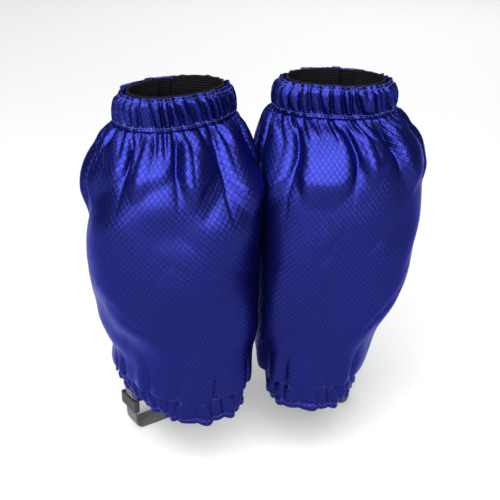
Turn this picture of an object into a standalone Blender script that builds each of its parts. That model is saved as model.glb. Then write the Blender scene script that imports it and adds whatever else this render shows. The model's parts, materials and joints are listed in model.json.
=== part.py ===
"""A pair of short elastic hiking gaiters, worn size, standing as they sit over a pair of boots.

Metres, +Z up, toes towards +Y, wearer's right at +X. Z = 0 is the underside of the instep straps.
Each gaiter is modelled in its own frame (origin under the hem's centre, +Y to its toe, +X to its
right) and then turned outwards and set beside the other one.
"""
import math

import bmesh
import bpy
from mathutils import Matrix, Vector

# Stance of the pair
STANCE = 0.063            # half the distance between the two hem centres
TOE_OUT = 22.5            # degrees that each toe points outwards

# Rings of the leg tube, from the hem up. Each one is its height at the tube's middle, its half
# width away from the other gaiter and towards it, its depth behind the middle, and the middle's y.
RINGS = [
    (0.056, 0.041, 0.041, 0.072, 0.000),
    (0.076, 0.046, 0.044, 0.072, -0.001),
    (0.110, 0.061, 0.052, 0.076, -0.005),
    (0.160, 0.072, 0.055, 0.077, -0.013),
    (0.208, 0.075, 0.056, 0.075, -0.020),
    (0.256, 0.075, 0.060, 0.074, -0.020),
    (0.294, 0.071, 0.061, 0.064, -0.018),
    (0.324, 0.052, 0.054, 0.040, -0.027),
    (0.348, 0.047, 0.047, 0.036, -0.033),
]
HEM_LOW, HEM_TOP = 0.056, 0.076
BAND_LOW, BAND_TOP = 0.324, 0.348
FRONT_LOW, FRONT_TOP = 0.070, 0.003     # y of the straight front line at the hem and at the top
OUT_LEAN = 0.014          # how far the front line moves outwards from the hem to the top
HEM_TILT, TOP_TILT = 0.096, 0.033       # slope of a ring, front lower than back
GAP = 0.0004              # clearance between touching pieces
SKIN_GAP = 0.0009         # clearance between two curved skins, whose facets don't line up

# Cloth and its thicknesses
CLOTH = 0.0016
BAND_CLOTH = 0.0026
HEM_CLOTH = 0.0022
ELASTIC = 0.0010
TAPE = 0.0010
TAPE_WIDTH = 0.024

# Front closure, across the front line towards +X: the under edge stops on the line
HINGE_X = 0.015
HINGE_PROUD = 0.0012      # the flap turns on a line this far in front of the cloth
FREE_X = -0.031
FLAP_OVER = 0.0062        # how far the flap's face stands off over the tapes
FLAP_RISE = 0.003         # the flap's end stands this much above the rim

# Instep strap, its tabs, rivets and slider
STRAP_WIDTH = 0.020
STRAP_Y = 0.041
STRAP_PIVOT_Z = 0.056
STRAP_U = 0.0315          # from the middle to the centre of a leg's thickness
STRAP_THICK = 0.0016
STRAP_CORNER = 0.008
TAB_U = 0.0332
TAB_THICK = 0.0010
TAB_TOP = 0.068
RIVET_R = 0.0020
RIVET_HEAD_R = 0.0040
RIVET_HEAD = 0.0010
SLIDER_SIZE = (0.0062, 0.0270, 0.0135)
SLIDER_Z = 0.027
SLIDER_SLOT = (0.0040, 0.0212)
TAIL_WIDTH = 0.010

# Lace hook at the front of the hem
HOOK_X = -0.013
HOOK_Y = 0.0578
HOOK_Z = 0.044
HOOK_WIDTH = 0.016
HOOK_TIP_WIDTH = 0.009
HOOK_THICK = 0.0014
HOOK_BEND = 0.004
HOOK_DROP = 0.014
HOOK_TIP = 0.008
HOOK_HANG = math.radians(16.0)          # the hook hangs with its weight below its bar
HOOK_SLOT = (0.0128, 0.0035)
HOOK_BAR = 0.0011
LOOP_R = 0.0025
LOOP_THICK = 0.0010
LOOP_WIDTH = 0.012
LOOP_TOP = 0.066

AROUND = 44               # steps around a full ring
LEVELS = 13               # steps up the leg tube


def clear_scene():
    for obj in list(bpy.data.objects):
        bpy.data.objects.remove(obj, do_unlink=True)


def make_collection(name):
    collection = bpy.data.collections.new(name)
    bpy.context.scene.collection.children.link(collection)
    return collection


def make_material(name, color, roughness, metallic=0.0):
    material = bpy.data.materials.new(name)
    material.use_nodes = True
    shader = material.node_tree.nodes["Principled BSDF"]
    shader.inputs["Base Color"].default_value = (*color, 1.0)
    shader.inputs["Roughness"].default_value = roughness
    shader.inputs["Metallic"].default_value = metallic
    material.diffuse_color = (*color, 1.0)
    return material


def lerp(a, b, t):
    return a + (b - a) * t


def ring_at(height):
    """The ring's sizes at this height, on a smooth curve through the listed rings."""
    last = len(RINGS) - 1
    i = 0
    while i < last - 1 and height > RINGS[i + 1][0]:
        i += 1
    low, high = RINGS[i], RINGS[i + 1]
    span = high[0] - low[0]
    t = (height - low[0]) / span
    before = RINGS[max(i - 1, 0)]
    after = RINGS[min(i + 2, last)]
    sizes = []
    for k in range(1, 5):
        slope_low = (high[k] - before[k]) / (high[0] - before[0])
        slope_high = (after[k] - low[k]) / (after[0] - low[0])
        h00 = 2 * t ** 3 - 3 * t ** 2 + 1
        h10 = t ** 3 - 2 * t ** 2 + t
        h01 = 3 * t ** 2 - 2 * t ** 3
        h11 = t ** 3 - t ** 2
        sizes.append(h00 * low[k] + h10 * span * slope_low + h01 * high[k] + h11 * span * slope_high)
    return sizes


def height_share(height):
    return (height - HEM_LOW) / (BAND_TOP - HEM_LOW)


def roundness(height, front):
    """Exponent of the ring's outline: the hem is squarer at the front, where it spans the instep."""
    low = 5.0 if front else 2.6
    return lerp(low, 2.2, min(1.0, height_share(height) * 5.0))


def front_line_x(height, side):
    return side * OUT_LEAN * height_share(height)


def half_sizes(height, side):
    """Half width at +X and at -X, depth to the front and to the back, and the middle's y."""
    outer, inner, back, middle = ring_at(height)
    front = lerp(FRONT_LOW, FRONT_TOP, height_share(height)) - middle
    if side > 0:
        return outer, inner, front, back, middle
    return inner, outer, front, back, middle


def surface(height, angle, off, side):
    """A point of the leg tube. Angle 0 is the front, growing towards +X; off is outwards."""
    plus, minus, front, back, middle = half_sizes(height, side)
    sine, cosine = math.sin(angle), math.cos(angle)
    n = roundness(height, cosine > 0)
    width = (plus if sine > 0 else minus) + off
    depth = (front if cosine > 0 else back) + off
    x = width * math.copysign(abs(sine) ** (2 / n), sine)
    y = depth * math.copysign(abs(cosine) ** (2 / n), cosine)
    z = height - y * lerp(HEM_TILT, TOP_TILT, height_share(height))
    return Vector((front_line_x(height, side) + x, middle + y, z))


def angle_at(height, across, side):
    """The angle of the point of the front that lies this far across the front line."""
    plus, minus = half_sizes(height, side)[:2]
    width = plus if across > 0 else minus
    n = roundness(height, True)
    return math.copysign(math.asin((abs(across) / width) ** (n / 2)), across)


def levels_between(low, high, count):
    return [lerp(low, high, i / count) for i in range(count + 1)]


def grid_object(name, rows, thickness, material):
    """An open sheet through rows of points, made solid inwards by its thickness."""
    bm = bmesh.new()
    verts = [[bm.verts.new(point) for point in row] for row in rows]
    for lower, upper in zip(verts, verts[1:]):
        for i in range(len(lower) - 1):
            bm.faces.new((lower[i], lower[i + 1], upper[i + 1], upper[i]))
    mesh = bpy.data.meshes.new(name)
    bm.to_mesh(mesh)
    bm.free()
    mesh.shade_smooth()
    mesh.materials.append(material)
    obj = bpy.data.objects.new(name, mesh)
    solid = obj.modifiers.new("thickness", "SOLIDIFY")
    solid.thickness = thickness
    solid.offset = -1.0
    return obj


def tube_sheet(name, side, low, high, count, off, thickness, material):
    """Cloth around the leg, from the under edge at the front round the back to the flap's hinge."""
    rows = []
    for height in levels_between(low, high, count):
        start = angle_at(height, HINGE_X + GAP, side)
        rows.append([surface(height, lerp(2 * math.pi, start, i / AROUND), off, side)
                     for i in range(AROUND + 1)])
    return grid_object(name, rows, thickness, material)


def front_sheet(name, side, low, high, count, across, offs, thickness, material):
    """Cloth over the front, through points given across the front line and off the tube."""
    rows = []
    for height in levels_between(low, high, count):
        rows.append([surface(height, angle_at(height, x, side), off, side)
                     for x, off in zip(across, offs)])
    return grid_object(name, rows, thickness, material)


def flap_off(across):
    """The flap leaves the tube's face at its hinge and stands over the tapes on its other side."""
    rise = min(1.0, max(0.0, (HINGE_X - across) / (HINGE_X - 0.002)))
    return FLAP_OVER * rise * rise * (3 - 2 * rise)


def strip_object(name, path, widths, thickness, material):
    """A strip through path points (across, up), with its width along Y at each of them."""
    rows = [[Vector((u, -width / 2, z)), Vector((u, width / 2, z))]
            for (u, z), width in zip(path, widths)]
    obj = grid_object(name, rows, thickness, material)
    obj.modifiers["thickness"].offset = 0.0
    obj.modifiers["thickness"].use_even_offset = True
    return obj


def arc(center, radius, start, end, count):
    return [(center[0] + radius * math.cos(lerp(start, end, i / count)),
             center[1] + radius * math.sin(lerp(start, end, i / count)))
            for i in range(count + 1)]


def cylinder_object(name, radius, depth, segments, material=None):
    bpy.ops.mesh.primitive_cylinder_add(vertices=segments, radius=radius, depth=depth)
    obj = bpy.context.object
    obj.name = name
    obj.data.name = name
    for owner in list(obj.users_collection):
        owner.objects.unlink(obj)
    obj.data.transform(Matrix.Rotation(math.pi / 2, 4, "Y"))
    if material:
        obj.data.materials.append(material)
    obj.data.shade_smooth()
    obj.data.set_sharp_from_angle(angle=math.radians(40))
    return obj


def box_object(name, size, material=None):
    bpy.ops.mesh.primitive_cube_add(size=1.0)
    obj = bpy.context.object
    obj.name = name
    obj.data.name = name
    for owner in list(obj.users_collection):
        owner.objects.unlink(obj)
    obj.data.transform(Matrix.Diagonal((*size, 1.0)))
    if material:
        obj.data.materials.append(material)
    return obj


def place(obj, parent, location, collection):
    collection.objects.link(obj)
    obj.parent = parent
    obj.location = location


def cut(target, cutter):
    cutter.hide_render = True
    cutter.display_type = "WIRE"
    modifier = target.modifiers.new(cutter.name, "BOOLEAN")
    modifier.operation = "DIFFERENCE"
    modifier.object = cutter


def leg_tube(side, label, parent, kit):
    parts = kit["parts"]
    blue, black = kit["ripstop"], kit["elastic"]
    pieces = [
        tube_sheet(label + "body_shell", side, HEM_TOP + GAP, BAND_LOW - GAP, LEVELS, 0.0, CLOTH, blue),
        tube_sheet(label + "top_band", side, BAND_LOW, BAND_TOP, 2, 0.0, BAND_CLOTH, blue),
        tube_sheet(label + "top_elastic", side, BAND_LOW + 0.002, BAND_TOP - 0.001, 2,
                   -BAND_CLOTH - GAP, ELASTIC, black),
        tube_sheet(label + "hem_band", side, HEM_LOW, HEM_TOP, 2, 0.0, HEM_CLOTH, blue),
        tube_sheet(label + "hem_elastic", side, HEM_LOW + 0.002, HEM_TOP - 0.002, 2,
                   -HEM_CLOTH - GAP, ELASTIC, black),
    ]
    for piece in pieces:
        place(piece, parent, (0, 0, 0), parts)


def closure(side, label, parent, kit):
    """Loop tape on the under edge, and the flap with its hook tape, which turns on its hinge line."""
    parts = kit["parts"]
    tape_right = -0.003
    tape_across = [tape_right - TAPE_WIDTH * i / 4 for i in range(5)]
    low, high = HEM_TOP + 0.006, BAND_LOW - 0.006
    loop_off = SKIN_GAP + TAPE
    loop = front_sheet(label + "loop_tape", side, low, high, 8, tape_across, [loop_off] * 5,
                       TAPE, kit["tape"])
    place(loop, parent, (0, 0, 0), parts)

    foot = surface(HEM_LOW, angle_at(HEM_LOW, HINGE_X, side), HINGE_PROUD, side)
    pivot = bpy.data.objects.new(label + "flap_hinge", None)
    place(pivot, parent, foot, parts)
    hook_off = loop_off + GAP + TAPE
    hooks = front_sheet(label + "hook_tape", side, low, high, 8, tape_across, [hook_off] * 5,
                        TAPE, kit["tape"])
    across = [lerp(HINGE_X - GAP, FREE_X, i / 10) for i in range(11)]
    flap = front_sheet(label + "front_flap", side, HEM_LOW, BAND_TOP + FLAP_RISE, LEVELS, across,
                       [flap_off(x) for x in across], CLOTH, kit["ripstop"])
    for piece in (hooks, flap):
        place(piece, pivot, -foot, parts)


def strap_path():
    """The strap's middle line, from one end round under the boot to the other: (across, up)."""
    bottom = STRAP_THICK / 2
    top = STRAP_PIVOT_Z
    end = STRAP_WIDTH / 2
    ends = [top + end * math.sin(math.radians(a)) for a in (86, 66, 44, 22)]
    turn = (STRAP_U - STRAP_CORNER, bottom + STRAP_CORNER)
    right = [(STRAP_U, z) for z in ends + [top, top - 0.012, 0.030]]
    right += arc(turn, STRAP_CORNER, 0.0, -math.pi / 2, 5)
    left = [(-u, z) for u, z in reversed(right)]
    return right + left


def strap_widths(path):
    end = STRAP_WIDTH / 2
    widths = []
    for _, z in path:
        above = max(0.0, z - STRAP_PIVOT_Z)
        widths.append(2 * math.sqrt(max(end * end - above * above, 0.0)))
    return widths


def strap_tab(name, u, material):
    end = STRAP_WIDTH / 2
    heights = [STRAP_PIVOT_Z - end * math.sin(math.radians(a)) for a in (86, 66, 44, 22)]
    path = [(u, z) for z in heights + [STRAP_PIVOT_Z, TAB_TOP]]
    widths = [2 * math.sqrt(max(end ** 2 - max(0.0, STRAP_PIVOT_Z - z) ** 2, 0.0)) for _, z in path]
    return strip_object(name, path, widths, TAB_THICK, material)


def rivet(name, material):
    """A rivet along X, from its head inside the strap to its head behind the tab."""
    inner = STRAP_U - STRAP_THICK / 2 - GAP
    outer = TAB_U + TAB_THICK / 2 + GAP
    profile = [(inner - RIVET_HEAD, 0.0), (inner - RIVET_HEAD, RIVET_HEAD_R * 0.8),
               (inner, RIVET_HEAD_R), (inner, RIVET_R), (outer, RIVET_R),
               (outer, RIVET_HEAD_R), (outer + RIVET_HEAD, RIVET_HEAD_R * 0.8),
               (outer + RIVET_HEAD, 0.0)]
    bm = bmesh.new()
    verts = [bm.verts.new((x, 0.0, r)) for x, r in profile]
    for a, b in zip(verts, verts[1:]):
        bm.edges.new((a, b))
    bmesh.ops.spin(bm, geom=bm.verts[:] + bm.edges[:], cent=(0, 0, 0), axis=(1, 0, 0),
                   angle=2 * math.pi, steps=16, use_merge=True)
    bmesh.ops.remove_doubles(bm, verts=bm.verts, dist=1e-6)
    bmesh.ops.recalc_face_normals(bm, faces=bm.faces)
    mesh = bpy.data.meshes.new(name)
    bm.to_mesh(mesh)
    bm.free()
    mesh.shade_smooth()
    mesh.set_sharp_from_angle(angle=math.radians(40))
    mesh.materials.append(material)
    return bpy.data.objects.new(name, mesh)


def instep_strap(side, label, parent, kit):
    parts, cutters = kit["parts"], kit["cutters"]
    pivot = bpy.data.objects.new(label + "strap_pivot", None)
    place(pivot, parent, (0, STRAP_Y, STRAP_PIVOT_Z), parts)
    down = (0, 0, -STRAP_PIVOT_Z)
    path = strap_path()
    strap = strip_object(label + "instep_strap", path, strap_widths(path), STRAP_THICK, kit["webbing"])
    place(strap, pivot, down, parts)

    for face, word in ((side, "outer"), (-side, "inner")):
        tab = strap_tab(label + "strap_tab_" + word, face * TAB_U, kit["webbing"])
        place(tab, parent, (0, STRAP_Y, 0), parts)
        stud = rivet(label + "strap_rivet_" + word, kit["steel"])
        if face < 0:
            stud.data.transform(Matrix.Rotation(math.pi, 4, "Z"))
        place(stud, parent, (0, STRAP_Y, STRAP_PIVOT_Z), parts)
        hole = cylinder_object(label + "rivet_hole_" + word, RIVET_R + GAP, 0.010, 16)
        place(hole, parent, (face * (STRAP_U + TAB_U) / 2, STRAP_Y, STRAP_PIVOT_Z), cutters)
        cut(strap, hole)
        cut(tab, hole)

    leg = side * STRAP_U
    slider = box_object(label + "strap_slider", SLIDER_SIZE, kit["plastic"])
    middle = side * (STRAP_U + 0.0008)
    place(slider, pivot, (middle, 0, SLIDER_Z - STRAP_PIVOT_Z), parts)
    slot = box_object(label + "slider_slot", (SLIDER_SLOT[0], SLIDER_SLOT[1], 0.030))
    place(slot, pivot, (middle, 0, SLIDER_Z - STRAP_PIVOT_Z), cutters)
    edge = slider.modifiers.new("edges", "BEVEL")
    edge.width = 0.0012
    edge.segments = 2
    cut(slider, slot)

    tail_u = leg + side * (STRAP_THICK / 2 + 0.0009)
    tail_line = [(0.000, 0.016), (0.000, 0.026), (-0.001, 0.033), (-0.003, 0.037), (-0.006, 0.041)]
    rows = []
    for i, (y, z) in enumerate(tail_line):
        ahead = Vector(tail_line[min(i + 1, 4)]) - Vector(tail_line[max(i - 1, 0)])
        across = Vector((ahead.y, -ahead.x)).normalized() * TAIL_WIDTH / 2
        rows.append([Vector((tail_u, y - across.x, z - across.y)),
                     Vector((tail_u, y + across.x, z + across.y))])
    tail = grid_object(label + "strap_tail", rows, TAPE, kit["webbing"])
    tail.modifiers["thickness"].offset = 0.0
    place(tail, pivot, down, parts)


def lace_hook(side, label, parent, kit):
    """A J of steel strip that hangs on a webbing loop sewn inside the hem's front."""
    parts, cutters = kit["parts"], kit["cutters"]
    loop_path = [(-LOOP_R, LOOP_TOP - HOOK_Z)] + arc((0, 0), LOOP_R, math.pi, 2 * math.pi, 8)
    loop_path += [(LOOP_R, LOOP_TOP - HOOK_Z)]
    loop = strip_object(label + "hook_tab", loop_path, [LOOP_WIDTH] * len(loop_path), LOOP_THICK,
                        kit["webbing"])
    loop.data.transform(Matrix.Rotation(math.pi / 2, 4, "Z"))
    place(loop, parent, (HOOK_X, HOOK_Y, HOOK_Z), parts)

    pivot = bpy.data.objects.new(label + "hook_pivot", None)
    place(pivot, parent, (HOOK_X, HOOK_Y, HOOK_Z), parts)
    bend = arc((-HOOK_BEND, -HOOK_DROP), HOOK_BEND, 0.0, -math.pi, 8)
    path = [(0.0, HOOK_BAR), (0.0, -0.0062), (0.0, -0.0095)] + bend
    path += [(-2 * HOOK_BEND, HOOK_TIP - HOOK_DROP)]
    widths = [HOOK_WIDTH, HOOK_WIDTH] + [HOOK_TIP_WIDTH] * (len(path) - 2)
    hook = strip_object(label + "lace_hook", path, widths, HOOK_THICK, kit["steel"])
    hook.data.transform(Matrix.Rotation(math.pi / 2, 4, "Z"))
    place(hook, pivot, (0, 0, 0), parts)
    slot = box_object(label + "hook_slot", (HOOK_SLOT[0], 0.010, HOOK_SLOT[1]))
    place(slot, pivot, (0, 0, -HOOK_BAR - HOOK_SLOT[1] / 2), cutters)
    cut(hook, slot)
    pivot.rotation_euler = (HOOK_HANG, 0, 0)


def gaiter(side, label, kit):
    root = bpy.data.objects.new(label + "gaiter", None)
    kit["parts"].objects.link(root)
    root.location = (side * STANCE, 0, 0)
    root.rotation_euler = (0, 0, math.radians(-side * TOE_OUT))
    leg_tube(side, label, root, kit)
    closure(side, label, root, kit)
    instep_strap(side, label, root, kit)
    lace_hook(side, label, root, kit)


def main():
    clear_scene()
    kit = {
        "parts": make_collection("gaiters"),
        "cutters": make_collection("cutters"),
        "ripstop": make_material("blue_ripstop", (0.022, 0.027, 0.270), 0.42),
        "elastic": make_material("black_elastic", (0.012, 0.012, 0.018), 0.85),
        "tape": make_material("black_hook_and_loop", (0.010, 0.010, 0.012), 0.95),
        "webbing": make_material("dark_webbing", (0.020, 0.020, 0.023), 0.80),
        "plastic": make_material("black_plastic", (0.014, 0.014, 0.016), 0.45),
        "steel": make_material("steel", (0.560, 0.570, 0.580), 0.30, 1.0),
    }
    gaiter(-1, "left_", kit)
    gaiter(1, "right_", kit)


main()
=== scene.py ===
import json
import math

import bmesh
import bpy
import numpy as np
from mathutils import Matrix, Vector


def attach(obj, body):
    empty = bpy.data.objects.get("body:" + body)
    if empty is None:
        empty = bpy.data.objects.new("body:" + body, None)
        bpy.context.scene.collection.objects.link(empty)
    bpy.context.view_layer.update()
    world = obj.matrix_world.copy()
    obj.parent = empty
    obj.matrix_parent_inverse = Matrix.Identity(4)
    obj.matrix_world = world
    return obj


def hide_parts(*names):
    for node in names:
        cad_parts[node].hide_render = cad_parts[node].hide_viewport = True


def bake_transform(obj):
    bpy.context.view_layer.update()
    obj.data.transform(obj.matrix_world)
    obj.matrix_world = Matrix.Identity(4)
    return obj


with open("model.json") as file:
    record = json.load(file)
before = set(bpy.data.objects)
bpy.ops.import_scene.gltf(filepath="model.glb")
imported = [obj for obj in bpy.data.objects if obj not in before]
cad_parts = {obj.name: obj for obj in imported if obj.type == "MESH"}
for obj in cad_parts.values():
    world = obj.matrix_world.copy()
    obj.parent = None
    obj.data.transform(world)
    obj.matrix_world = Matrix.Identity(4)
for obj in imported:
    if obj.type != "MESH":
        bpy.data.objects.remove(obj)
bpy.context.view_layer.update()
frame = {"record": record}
print("frame loaded")

# the stance of the pair, as in the CAD model: two gaiters with their toes turned out
stance = {
    "halfGap": 0.063,
    "toeOut": math.radians(22.5),
}

# the leg tube, metres. Each ring: height, half width away from the other gaiter, half width
# towards it, depth behind the middle, the middle's y
tube = {
    "rings": {
        -1: [
            (0.056, 0.041, 0.041, 0.072, 0.000),
            (0.076, 0.045, 0.043, 0.072, -0.001),
            (0.110, 0.055, 0.055, 0.076, -0.005),
            (0.160, 0.072, 0.062, 0.077, -0.013),
            (0.208, 0.082, 0.064, 0.075, -0.020),
            (0.256, 0.081, 0.065, 0.074, -0.020),
            (0.294, 0.068, 0.060, 0.064, -0.018),
            (0.324, 0.0490, 0.0500, 0.0385, -0.027),
            (0.348, 0.0465, 0.0465, 0.036, -0.033),
        ],
        1: [
            (0.056, 0.0388, 0.041, 0.072, 0.000),
            (0.076, 0.0396, 0.044, 0.072, -0.001),
            (0.110, 0.0535, 0.056, 0.076, -0.005),
            (0.160, 0.0705, 0.062, 0.077, -0.013),
            (0.208, 0.073, 0.064, 0.075, -0.020),
            (0.256, 0.075, 0.065, 0.074, -0.020),
            (0.294, 0.071, 0.061, 0.064, -0.018),
            (0.324, 0.0490, 0.0500, 0.0385, -0.027),
            (0.348, 0.0465, 0.0465, 0.036, -0.033),
        ],
    },
    "hemLow": 0.056, "hemTop": 0.076, "bandLow": 0.324, "bandTop": 0.348,
    "frontLow": 0.070, "frontTop": 0.003,   # the front line's y at the hem and at the rim
    "outLean": 0.014,
    "hemTilt": 0.096, "topTilt": 0.033,     # how far each edge drops towards the front, per metre
    "squareFront": {-1: 3.3, 1: 4.0},       # how square the hem's outer front corner is
    "hingeX": 0.015, "freeX": -0.031,
}


def srgb(code):
    channels = [int(code[i:i + 2], 16) / 255 for i in (1, 3, 5)]
    return tuple(c / 12.92 if c <= 0.04045 else ((c + 0.055) / 1.055) ** 2.4 for c in channels) + (1.0,)


def smooth(x, low, high):
    t = np.clip((np.asarray(x, float) - low) / (high - low), 0, 1)
    return t * t * (3 - 2 * t)


def share(height):
    return (height - tube["hemLow"]) / (tube["bandTop"] - tube["hemLow"])


# the outline that the CAD tube has at a height, for whole arrays of heights
def ringSizes(height, side):
    rings = np.array(tube["rings"][side])
    x = rings[:, 0]
    i = np.clip(np.searchsorted(x, height, side="left") - 1, 0, len(x) - 2)
    before, after = np.maximum(i - 1, 0), np.minimum(i + 2, len(x) - 1)
    span = x[i + 1] - x[i]
    t = ((height - x[i]) / span)[..., None]
    low, high = rings[i, 1:], rings[i + 1, 1:]
    slopeLow = (high - rings[before, 1:]) / (x[i + 1] - x[before])[..., None]
    slopeHigh = (rings[after, 1:] - low) / (x[after] - x[i])[..., None]
    span = span[..., None]
    return ((2 * t ** 3 - 3 * t ** 2 + 1) * low + (t ** 3 - 2 * t ** 2 + t) * span * slopeLow
            + (3 * t ** 2 - 2 * t ** 3) * high + (t ** 3 - t ** 2) * span * slopeHigh)


def tubeSizes(height, side):
    sizes = ringSizes(height, side)
    outer, inner, back, middle = (sizes[..., k] for k in range(4))
    front = tube["frontLow"] + (tube["frontTop"] - tube["frontLow"]) * share(height) - middle
    return (outer, inner, front, back, middle) if side > 0 else (inner, outer, front, back, middle)


def roundness(height, cosine, sine, side):
    front = np.where(sine * side > 0, tube["squareFront"][side], 5.0)
    low = np.where(cosine > 0, front, 2.6)
    return low + (2.2 - low) * np.clip(share(height) * 5.0, 0, 1)


# a point of the tube: angle 0 is the front, growing towards +X; off is outwards
def tubePoint(height, angle, off, side):
    plus, minus, front, back, middle = tubeSizes(height, side)
    sine, cosine = np.sin(angle), np.cos(angle)
    n = roundness(height, cosine, sine, side)
    width = np.where(sine > 0, plus, minus) + off
    depth = np.where(cosine > 0, front, back) + off
    x = width * np.sign(sine) * np.abs(sine) ** (2 / n)
    y = depth * np.sign(cosine) * np.abs(cosine) ** (2 / n)
    tilt = tube["hemTilt"] + (tube["topTilt"] - tube["hemTilt"]) * share(height)
    return np.stack([side * tube["outLean"] * share(height) + x, middle + y, height - y * tilt], -1)


def angleAcross(height, across, side):
    plus, minus = tubeSizes(height, side)[:2]
    width = np.where(across > 0, plus, minus)
    n = roundness(height, 1.0, across, side)
    return np.sign(across) * np.arcsin(np.clip(np.abs(across) / width, 0, 1) ** (n / 2))


def unit(vectors):
    return vectors / np.maximum(np.linalg.norm(vectors, axis=-1, keepdims=True), 1e-12)


# how far along a line of points each of them is
def walkedAlong(line):
    return np.concatenate([[0], np.cumsum(np.linalg.norm(np.diff(line, axis=0), axis=1))])


# the angle at a share of the way round the cloth: 0 at the under edge on the front line,
# round the back, 1 at the flap's hinge
def angleRound(height, way, side):
    start = 2 * math.pi
    steps = np.linspace(0, 1, 481)
    result = np.empty(way.shape)
    for i, h in enumerate(height[:, 0]):
        end = float(angleAcross(np.array(h), np.array(tube["hingeX"] + 0.0004), side))
        angles = start + (end - start) * steps
        walked = walkedAlong(tubePoint(np.full_like(angles, h), angles, 0.0, side))
        result[i] = np.interp(way[i], walked / walked[-1], angles)
    return result


def toWorld(points, side):
    turn = -side * stance["toeOut"]
    c, s = math.cos(turn), math.sin(turn)
    x, y, z = points[..., 0], points[..., 1], points[..., 2]
    return np.stack([side * stance["halfGap"] + x * c - y * s, x * s + y * c, z], -1)


def gridNormals(points):
    return unit(np.cross(np.gradient(points, axis=1), np.gradient(points, axis=0)))


# a smooth random wave along the cloth, the same on every run
def wander(x, seed, scale, terms=4):
    rng = np.random.default_rng(seed)
    total = np.zeros_like(np.asarray(x, float))
    for k in range(terms):
        phase, amount = rng.uniform(0, 2 * math.pi), rng.uniform(0.5, 1.0)
        total = total + amount * np.sin(2 * math.pi * x / scale * (0.6 + 0.7 * k) + phase)
    return total / terms


# adds a node. settings: a dictionary, or the name of an operation. Inputs are given by name, or
# by place as i0, i1 and so on; a node given as an input stands for its first output
def addNode(tree, kind, settings=None, **inputs):
    node = tree.nodes.new(kind)
    if isinstance(settings, str):
        settings = {"operation": settings}
    for name, value in (settings or {}).items():
        setattr(node, name, value)
    for key, value in inputs.items():
        placed = key[0] == "i" and key[1:].isdigit()
        socket = node.inputs[int(key[1:]) if placed else key.replace("_", " ")]
        if isinstance(value, bpy.types.Node):
            value = value.outputs[0]
        if isinstance(value, bpy.types.NodeSocket):
            tree.links.new(value, socket)
        else:
            socket.default_value = value
    return node


def newMaterial(name, roughness, metallic=0.0, ior=1.5, sheen=0.0, color=None):
    material = bpy.data.materials.new(name)
    material.use_nodes = True
    shader = material.node_tree.nodes["Principled BSDF"]
    shader.inputs["Roughness"].default_value = roughness
    shader.inputs["Metallic"].default_value = metallic
    shader.inputs["IOR"].default_value = ior
    shader.inputs["Sheen Weight"].default_value = sheen
    if color:
        shader.inputs["Base Color"].default_value = srgb(color)
    return material, material.node_tree, shader


# what the materials share: the object's own noise and regular waves to start from, then a mix of
# two colours, relief and uneven polish
def grain(tree, scale, detail, roughness=0.5):
    coords = addNode(tree, "ShaderNodeTexCoord").outputs["Object"]
    return addNode(tree, "ShaderNodeTexNoise", Vector=coords, Scale=scale, Detail=detail, Roughness=roughness)


def wave(tree, along, pitch):
    turns = addNode(tree, "ShaderNodeMath", "MULTIPLY", i0=along, i1=2 * math.pi / pitch)
    return addNode(tree, "ShaderNodeMath", "SINE", i0=turns)


# one pattern with a share of another on top
def layered(tree, first, second, part):
    scaled = addNode(tree, "ShaderNodeMath", "MULTIPLY", i0=second, i1=part)
    return addNode(tree, "ShaderNodeMath", "ADD", i0=first, i1=scaled)


def tint(tree, shader, amount, low, high):
    mixed = addNode(tree, "ShaderNodeMix", {"data_type": "RGBA"}, i0=amount, i6=srgb(low), i7=srgb(high))
    tree.links.new(mixed.outputs[2], shader.inputs["Base Color"])


def emboss(tree, shader, strength, metres, height):
    bump = addNode(tree, "ShaderNodeBump", Strength=strength, Distance=metres, Height=height)
    tree.links.new(bump.outputs[0], shader.inputs["Normal"])


def polish(tree, shader, value, low, high):
    rough = addNode(tree, "ShaderNodeMapRange", Value=value, To_Min=low, To_Max=high)
    tree.links.new(rough.outputs[0], shader.inputs["Roughness"])


# woven nylon 66 ripstop, calendered: a diagonal grid of doubled yarns on a fine plain weave,
# silky where it catches light. The plain weave is drawn at 0.9 mm so that it shows.
ripstopLook = {
    "ground": "#151A60",
    "shade": "#10134F",
    "yarn": "#0E1045",
    "shine": "#A0A8FF",
    "silk": 0.85,                                     # how much of its colour is in its reflection
    "diamondWide": 0.0046, "diamondTall": 0.0056,     # metres
    "yarnWidth": 0.16, "yarnSoft": 0.03,              # shares of a diamond
    "yarnDark": 0.92, "yarnPolish": 0.10,
    "weave": 0.0009, "weaveHigh": 0.12,
    # how much of the painted shade colour shows in its random patches
    "shadePatches": 0.55,
    "roughness": 0.30,
}


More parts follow.
